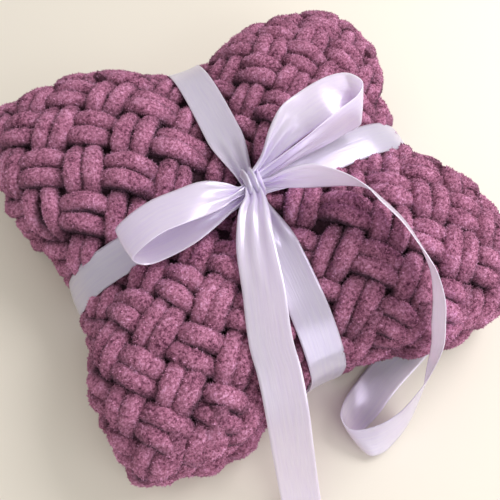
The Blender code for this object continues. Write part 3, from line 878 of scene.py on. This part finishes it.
def wrap_path(node, first):
    """The line of a ribbon band round the bundle, from its solid: pairs of place and height."""
    points = []
    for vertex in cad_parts[node].data.vertices:
        co = (vertex.co - SHIFT) / MM
        points.append((round(co[first], 3), round(co.z, 3)))
    corners = hull(points)
    line = []
    for start, end in zip(corners, corners[1:] + corners[:1]):
        pieces = max(1, round(math.dist(start, end) / WRAP_STEP))
        for number in range(pieces):
            share = number / pieces
            line.append(tuple(a + (b - a) * share for a, b in zip(start, end)))
    for _ in range(WRAP_SMOOTHING):
        count = len(line)
        around = [(line[k - 1], line[k], line[(k + 1) % count]) for k in range(count)]
        line = [tuple((a + 2 * b + c) / 4 for a, b, c in zip(*three)) for three in around]
    return line


def area_light(light, power):
    """A soft light that looks at the knot's foot."""
    data = bpy.data.lights.new(light.name, "AREA")
    data.shape = "RECTANGLE"
    data.size = light.size_x
    data.size_y = light.size_y
    data.color = light.colour
    data.energy = power
    lamp = bpy.data.objects.new(light.name, data)
    bpy.context.scene.collection.objects.link(lamp)
    lamp.location = SHIFT + Vector(light.place)
    lamp.rotation_euler = (SHIFT - lamp.location).to_track_quat("-Z", "Y").to_euler()


def gathered_width(along, height):
    """The ribbon's width on its way to the knot, where it is gathered."""
    near_knot = math.hypot(along, height - KNOT_CENTRE.z)
    return RIBBON * (GATHERED + (1 - GATHERED) * smooth(near_knot / GATHER_REACH))


def strip_mesh(name, rows, closed, settings, phase=0.0, painted_shade_factor=1.0):
    """A strip of ribbon with its pleats where it is gathered, as a thin closed mesh."""
    total = len(rows)
    vertices = []
    uvs = []
    run = 0.0
    for index, row in enumerate(rows):
        before = rows[index - 1] if closed or index else row
        after = rows[(index + 1) % total] if closed or index < total - 1 else row
        path = Vector(after[:3]) - Vector(before[:3])
        across = Vector((row.wx, row.wy, row.wz)).normalized()
        face = path.cross(across).normalized()
        if index:
            run += (Vector(row[:3]) - Vector(rows[index - 1][:3])).length
        slack = math.sqrt(max(RIBBON**2 - row.width**2, 0.0))
        lowest = abs(across.z) * row.width / 2 + STRIP_CLEARANCE
        centre = Vector((row.x, row.y, max(row.z, lowest)))
        for column in range(STRIP_COLUMNS):
            a = 2.0 * column / (STRIP_COLUMNS - 1) - 1.0
            pleat = PLEAT_SHARE * slack * math.cos(math.pi * PLEATS * a + phase)
            curl = CUPPING * (a * a - CUP_MIDDLE)
            vertices.append(to_frame(centre + across * (row.width / 2 * a) + face * (pleat + curl)))
            uvs.append((column / (STRIP_COLUMNS - 1), run / RIBBON))
    faces = []
    for index in range(total if closed else total - 1):
        here = index * STRIP_COLUMNS
        there = (index + 1) % total * STRIP_COLUMNS
        for column in range(STRIP_COLUMNS - 1):
            faces.append((here + column, here + column + 1, there + column + 1, there + column))
    mesh = bpy.data.meshes.new(name)
    mesh.from_pydata(vertices, [], faces)
    # Painted shade: a factor for the strip's colour, below 1 on the bands round the bundle
    store(mesh, "painted_shade_factor", "FLOAT", [painted_shade_factor] * len(vertices))
    layer = mesh.uv_layers.new(name="ribbon")
    for loop in mesh.loops:
        layer.data[loop.index].uv = uvs[loop.vertex_index]
    mesh.materials.append(named_material(satin_material, settings, "polyester satin ribbon"))
    mesh.shade_smooth()
    obj = bpy.data.objects.new(name, mesh)
    bpy.context.scene.collection.objects.link(obj)
    solid = obj.modifiers.new("ribbon thickness", "SOLIDIFY")
    solid.thickness = settings.thickness
    solid.offset = 0.0
    make_plain(obj, name, 0.0)
    length = run + (math.dist(rows[0][:3], rows[-1][:3]) if closed else 0.0)
    return obj, length * MM


def dress_ribbon(obj, node):
    """Hangs a strip of ribbon under the root body and hides the solid it stands for."""
    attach(obj, "root")
    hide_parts(node)


def free_strip(name, table, node, settings, phase):
    """A stretch of ribbon that stands free of the bundle, through the rows of its table."""
    rough = sum(math.dist(a[:3], b[:3]) for a, b in zip(table, table[1:]))
    count = int(rough / STRIP_STEP)
    rows = [curve_through(table, number / count) for number in range(count + 1)]
    obj, length = strip_mesh(name, rows, False, settings, phase)
    dress_ribbon(obj, node)


def length_setting(name, description, size):
    """A setting that is a length, from its default in metres."""
    return FloatProperty(name=name, description=description, default=size, unit="LENGTH")


def colour_setting(name, description, code):
    """A setting that is a colour, from its default as an sRGB hex code."""
    return FloatVectorProperty(
        name=name, description=description, default=linear(code), subtype="COLOR", size=3
    )


class KnitSettings(bpy.types.PropertyGroup):
    """Sizes and colours of the chenille yarn."""

    strand: length_setting("Strand", "Diameter of a strand of yarn", 0.0130)
    tuft: length_setting("Tuft", "Size of one tuft of the pile", 0.0019)
    tuft_height: length_setting("Tuft height", "How far the tufts stand up and down", 0.0024)
    lump_height: length_setting("Lump height", "How uneven the yarn's thickness is", 0.0022)
    pile_length: length_setting("Pile length", "Length of the pile that stands off the yarn", 0.0015)
    pile_width: length_setting("Pile width", "Width of one blade of the pile", 0.0007)
    seed: IntProperty(name="Seed", description="Chooses the small differences between stitches", default=7)
    # Painted shade and highlight: the pits are darker pile for the shade between the tufts, the tips
    # lighter pile for the lit ends, which also tint the sheen
    pit_shade_colour: colour_setting("Pits", "Pile between the tufts", "#4E2138")
    pile_colour: colour_setting("Pile", "Most of the pile", "#A56A83")
    tip_colour: colour_setting("Tips", "Lit ends of the pile", "#DDA6CA")


class RibbonSettings(bpy.types.PropertyGroup):
    """Size, finish and colours of the satin ribbon."""

    thickness: length_setting("Thickness", "Thickness of the ribbon", 0.0004)
    roughness: FloatProperty(name="Roughness", description="How soft the satin's shine is", default=0.27)
    satin_colour: colour_setting("Satin", "The ribbon's colour", "#F1E3FF")
    # Painted shade: the satin darkens to this colour in its creases
    shade_colour: colour_setting("Shade", "The ribbon's colour in its creases", "#E2CEFF")


class StageSettings(bpy.types.PropertyGroup):
    """The plain surface and its light."""

    floor_colour: colour_setting("Floor", "Colour of the surface", "#E8E1D2")
    sky: FloatProperty(name="Sky", description="Strength of the light from all round", default=0.62)
    fill: FloatProperty(
        name="Fill", description="Power of the light from the near side", default=5.8, unit="POWER"
    )
    window: FloatProperty(
        name="Window", description="Power of the large soft light", default=10.2, unit="POWER"
    )


class TIEDBLANKET_OT_knit_top(bpy.types.Operator):
    """Makes the stitch pairs on the four lobes of the top."""

    bl_idname = "tied_blanket.knit_top"
    bl_label = "Knit the top"

    def execute(self, context):
        settings = context.scene.tied_blanket_knit
        radius = settings.strand / MM / 2
        east, edge = FLAT_EAST + OVER_EDGE, FLAT_Y + OVER_EDGE
        strands = stitch_strands(TOP, FLAT_WEST, east, edge, radius, settings.seed)
        lobes = {name: [] for name in LOBES}
        for s, v, strand in strands:
            if v > 0:
                lobes["top" if s > 0 else "left"].append(strand)
            else:
                lobes["right" if s > 0 else "bottom"].append(strand)
        for name, members in lobes.items():
            yarn_piece(f"knit_lobe_{name}", members, settings, LOBE_YARN)
        return {"FINISHED"}


class TIEDBLANKET_OT_knit_folds(bpy.types.Operator):
    """Makes the stitch pairs that run over the outer folds."""

    bl_idname = "tied_blanket.knit_folds"
    bl_label = "Knit the folds"

    def execute(self, context):
        settings = context.scene.tied_blanket_knit
        radius = settings.strand / MM / 2 * FOLD_FAT
        edge = FLAT_Y + FOLD_OVER_EDGE
        end = math.pi * FOLD_RADIUS
        for name, face, low, high in (
            ("knit_fold_upper", TOP, FLAT_WEST - end + FOLD_OVERLAP, FLAT_WEST),
            ("knit_fold_lower", WEST_LOW, FLAT_WEST - end, FLAT_WEST),
            ("knit_fold_east", EAST_FOLD, FOLD_EAST, FOLD_EAST + end),
        ):
            strands = stitch_strands(face, low, high, edge, radius, settings.seed + face)
            yarn_piece(name, [strand for _, _, strand in strands], settings, FOLD_YARN)
        return {"FINISHED"}


class TIEDBLANKET_OT_knit_rims(bpy.types.Operator):
    """Makes the row of slanting stitches along each layer's rim."""

    bl_idname = "tied_blanket.knit_rims"
    bl_label = "Knit the rims"

    def execute(self, context):
        settings = context.scene.tied_blanket_knit
        radius = settings.strand / MM / 2 * PETAL_FAT
        chance = random.Random(settings.seed + RIM_SEED)
        for edge, layers, size in (
            ("south", range(LAYERS), NEAR_RIM_YARN),
            ("north", range(LAYERS), RIM_YARN),
            ("east", (0, LAYERS - 1), RIM_YARN),
        ):
            strands = []
            for layer in layers:
                start = FLAT_WEST if edge != "east" else -FLAT_Y
                start += 0.5 * PETAL_STEP * (layer % 2)
                while start < FLAT_EAST - 2.0:
                    for row in (-1.0, 1.0):
                        strands.append(rim_strand(layer, edge, start, row, chance, radius))
                    start += PETAL_STEP
            yarn_piece(f"knit_rim_{edge}", strands, settings, size)
        return {"FINISHED"}


class TIEDBLANKET_OT_knit_underside(bpy.types.Operator):
    """Makes the stitch pairs of the underside, flat where they rest."""

    bl_idname = "tied_blanket.knit_underside"
    bl_label = "Knit the underside"

    def execute(self, context):
        settings = context.scene.tied_blanket_knit
        radius = settings.strand / MM / 2
        east, edge = FLAT_EAST - UNDER_INSET, FLAT_Y - UNDER_INSET
        strands = stitch_strands(UNDER, FLAT_WEST, east, edge, radius, settings.seed + UNDER_SEED)
        yarn_piece("knit_underside", [strand for _, _, strand in strands], settings, UNDER_YARN)
        return {"FINISHED"}


def ground_line(face):
    """One side of the ground's section, back and forth through the layers and round the folds."""
    line = []
    away = face * GROUND_HALF
    for layer in range(LAYERS):
        east = FLAT_EAST - GROUND_INSET if layer in (0, LAYERS - 1) else FOLD_EAST
        places = [east + (FLAT_WEST - east) * k / GROUND_STEPS for k in range(GROUND_STEPS + 1)]
        if layer % 2:
            places.reverse()
        line += [(u, layer_middle(layer) + away) for u in places]
        if layer < LAYERS - 1:
            toward, start = (-1.0, FLAT_WEST) if layer % 2 == 0 else (1.0, FOLD_EAST)
            radius = FOLD_MIDDLE + away
            centre = layer_middle(layer) - FOLD_MIDDLE
            for k in range(1, GROUND_TURN):
                angle = math.pi * k / GROUND_TURN
                spot = (start + toward * radius * math.sin(angle), centre + radius * math.cos(angle))
                line.append(spot)
        away = -away
    return line


class TIEDBLANKET_OT_knit_ground(bpy.types.Operator):
    """Makes the cloth's inner ground, which has no crest share, so its colour is painted in the darkest
    shade and shows dark between the stitches.
    """

    bl_idname = "tied_blanket.knit_ground"
    bl_label = "Make the ground"

    def execute(self, context):
        settings = context.scene.tied_blanket_knit
        upper = ground_line(1.0)
        outline = upper + ground_line(-1.0)[::-1]
        rows = [GROUND_EDGE * (2.0 * k / GROUND_ROWS - 1.0) for k in range(GROUND_ROWS + 1)]
        vertices = [place(u, v, z) for v in rows for u, z in outline]
        count = len(outline)
        faces = []
        for row in range(GROUND_ROWS):
            for k in range(count):
                a, b = row * count + k, row * count + (k + 1) % count
                faces.append((a, b, b + count, a + count))
        for k in range(len(upper) - 1):
            other = count - 1 - k
            for base, order in ((0, 1), (GROUND_ROWS * count, -1)):
                faces.append(tuple(base + n for n in (k, other, other - 1, k + 1)[::order]))
        mesh = bpy.data.meshes.new("knit_ground")
        mesh.from_pydata(vertices, [], faces)
        mesh.materials.append(named_material(chenille_material, settings, "polyester chenille pile"))
        mesh.shade_smooth()
        obj = bpy.data.objects.new("knit_ground", mesh)
        context.scene.collection.objects.link(obj)
        dress_knit(obj)
        return {"FINISHED"}


class TIEDBLANKET_OT_ribbon_wraps(bpy.types.Operator):
    """Makes the two bands of ribbon round the bundle."""

    bl_idname = "tied_blanket.ribbon_wraps"
    bl_label = "Wrap the ribbon"

    def execute(self, context):
        settings = context.scene.tied_blanket_ribbon
        for node, first, lean, phase in (
            ("ribbon_wrap_cross", 0, RIBBON_LEAN_Y, 0.4),
            ("ribbon_wrap_long", 1, RIBBON_LEAN_X, 1.1),
        ):
            rows = []
            for along, z in wrap_path(node, first):
                width = gathered_width(along, z)
                if first == 0:
                    rows.append(Row(along, lean * along, z, 0.0, 1.0, 0.0, width))
                else:
                    rows.append(Row(lean * along, along, z, 1.0, 0.0, 0.0, width))
            name = node.replace("ribbon", "satin")
            obj, run = strip_mesh(name, rows, True, settings, phase, WRAP_PAINTED_SHADE)
            dress_ribbon(obj, node)
        return {"FINISHED"}


class TIEDBLANKET_OT_bow(bpy.types.Operator):
    """Makes the bow's two loops and the ribbon's two ends."""

    bl_idname = "tied_blanket.bow"
    bl_label = "Tie the bow"

    def execute(self, context):
        settings = context.scene.tied_blanket_ribbon
        free_strip("satin_loop_left", BOW_LOOP_LEFT, "bow_loop_left", settings, 0.5)
        free_strip("satin_loop_right", BOW_LOOP_RIGHT, "bow_loop_right", settings, 0.2)
        free_strip("satin_tail_front", TAIL_FRONT, "tail_front", settings, 0.8)
        free_strip("satin_tail_side", TAIL_SIDE, "tail_side", settings, 0.0)
        return {"FINISHED"}


class TIEDBLANKET_OT_knot(bpy.types.Operator):
    """Makes the knot: a turn of gathered ribbon round the bow's waist."""

    bl_idname = "tied_blanket.knot"
    bl_label = "Make the knot"

    def execute(self, context):
        settings = context.scene.tied_blanket_ribbon
        rows = []
        for number in range(KNOT_STEPS):
            angle = 2.0 * math.pi * number / KNOT_STEPS
            y = KNOT_HALF_Y * math.sin(angle)
            z = KNOT_CENTRE.z + KNOT_HALF_Z * math.cos(angle)
            width = KNOT_WIDTH - KNOT_NARROWER * math.cos(angle) ** 2
            rows.append(Row(KNOT_LEAN * y, y, z, 1.0, -KNOT_LEAN, 0.0, width))
        obj, run = strip_mesh("satin_knot", rows, True, settings, 0.9)
        dress_ribbon(obj, "knot")
        return {"FINISHED"}


class TIEDBLANKET_OT_stage(bpy.types.Operator):
    """Makes the plain surface, the soft light and the camera."""

    bl_idname = "tied_blanket.stage"
    bl_label = "Set the stage"

    def execute(self, context):
        settings = context.scene.tied_blanket_stage
        scene = context.scene
        scene.view_settings.view_transform = "Standard"
        bpy.ops.mesh.primitive_plane_add(size=FLOOR_SIZE)
        floor = context.active_object
        floor.name = "floor"
        material, add, shader = shader_tree("painted board")
        grain = add("ShaderNodeTexNoise", {"Scale": 60.0, "Detail": 4.0})
        bump = add("ShaderNodeBump", {"Height": grain, "Strength": 0.02})
        set_inputs(shader, {"Base Color": (*settings.floor_colour, 1.0), "Roughness": 0.6, "Normal": bump})
        floor.data.materials.append(material)

        world = bpy.data.worlds.new("soft daylight")
        scene.world = world
        world.use_nodes = True
        sky = world.node_tree.nodes["Background"]
        sky.inputs["Color"].default_value = SKY_COLOUR
        sky.inputs["Strength"].default_value = settings.sky
        area_light(WINDOW, settings.window)
        area_light(FILL, settings.fill)

        azimuth = math.radians(CAMERA_AZIMUTH)
        elevation = math.radians(CAMERA_ELEVATION)
        level = math.cos(elevation)
        back = Vector((math.sin(azimuth) * level, -math.cos(azimuth) * level, math.sin(elevation)))
        right = (-back).cross(Vector((0.0, 0.0, 1.0))).normalized()
        up = right.cross(-back)
        roll = math.radians(CAMERA_ROLL)
        right_turned = right * math.cos(roll) + up * math.sin(roll)
        up_turned = up * math.cos(roll) - right * math.sin(roll)
        turned = Matrix((right_turned, up_turned, back)).transposed().to_4x4()
        data = bpy.data.cameras.new("camera")
        data.sensor_width = CAMERA_SENSOR
        data.lens = CAMERA_LENS
        camera = bpy.data.objects.new("camera", data)
        scene.collection.objects.link(camera)
        camera.matrix_world = Matrix.Translation(to_frame(CAMERA_TARGET + back * CAMERA_DISTANCE)) @ turned
        scene.camera = camera
        return {"FINISHED"}


class TIEDBLANKET_PT_pieces(bpy.types.Panel):
    """Lists the blanket's pieces in the sidebar."""

    bl_label = "Tied blanket"
    bl_space_type = "VIEW_3D"
    bl_region_type = "UI"
    bl_category = "Tied blanket"

    def draw(self, context):
        for operator in OPERATORS:
            self.layout.operator(operator.bl_idname)


GROUPS = (KnitSettings, RibbonSettings, StageSettings)
OPERATORS = (
    TIEDBLANKET_OT_knit_top,
    TIEDBLANKET_OT_knit_folds,
    TIEDBLANKET_OT_knit_rims,
    TIEDBLANKET_OT_knit_underside,
    TIEDBLANKET_OT_knit_ground,
    TIEDBLANKET_OT_ribbon_wraps,
    TIEDBLANKET_OT_bow,
    TIEDBLANKET_OT_knot,
    TIEDBLANKET_OT_stage,
)


def register():
    for item in (*GROUPS, *OPERATORS, TIEDBLANKET_PT_pieces):
        bpy.utils.register_class(item)
    bpy.types.Scene.tied_blanket_knit = PointerProperty(type=KnitSettings)
    bpy.types.Scene.tied_blanket_ribbon = PointerProperty(type=RibbonSettings)
    bpy.types.Scene.tied_blanket_stage = PointerProperty(type=StageSettings)


def unregister():
    del bpy.types.Scene.tied_blanket_stage
    del bpy.types.Scene.tied_blanket_ribbon
    del bpy.types.Scene.tied_blanket_knit
    for item in (TIEDBLANKET_PT_pieces, *reversed(OPERATORS), *reversed(GROUPS)):
        bpy.utils.unregister_class(item)


def main():
    register()
    bpy.ops.tied_blanket.knit_top()
    bpy.ops.tied_blanket.knit_folds()
    bpy.ops.tied_blanket.knit_rims()
    bpy.ops.tied_blanket.knit_underside()
    bpy.ops.tied_blanket.knit_ground()
    bpy.ops.tied_blanket.ribbon_wraps()
    bpy.ops.tied_blanket.bow()
    bpy.ops.tied_blanket.knot()
    bpy.ops.tied_blanket.stage()


if __name__ == "__main__":
    main()
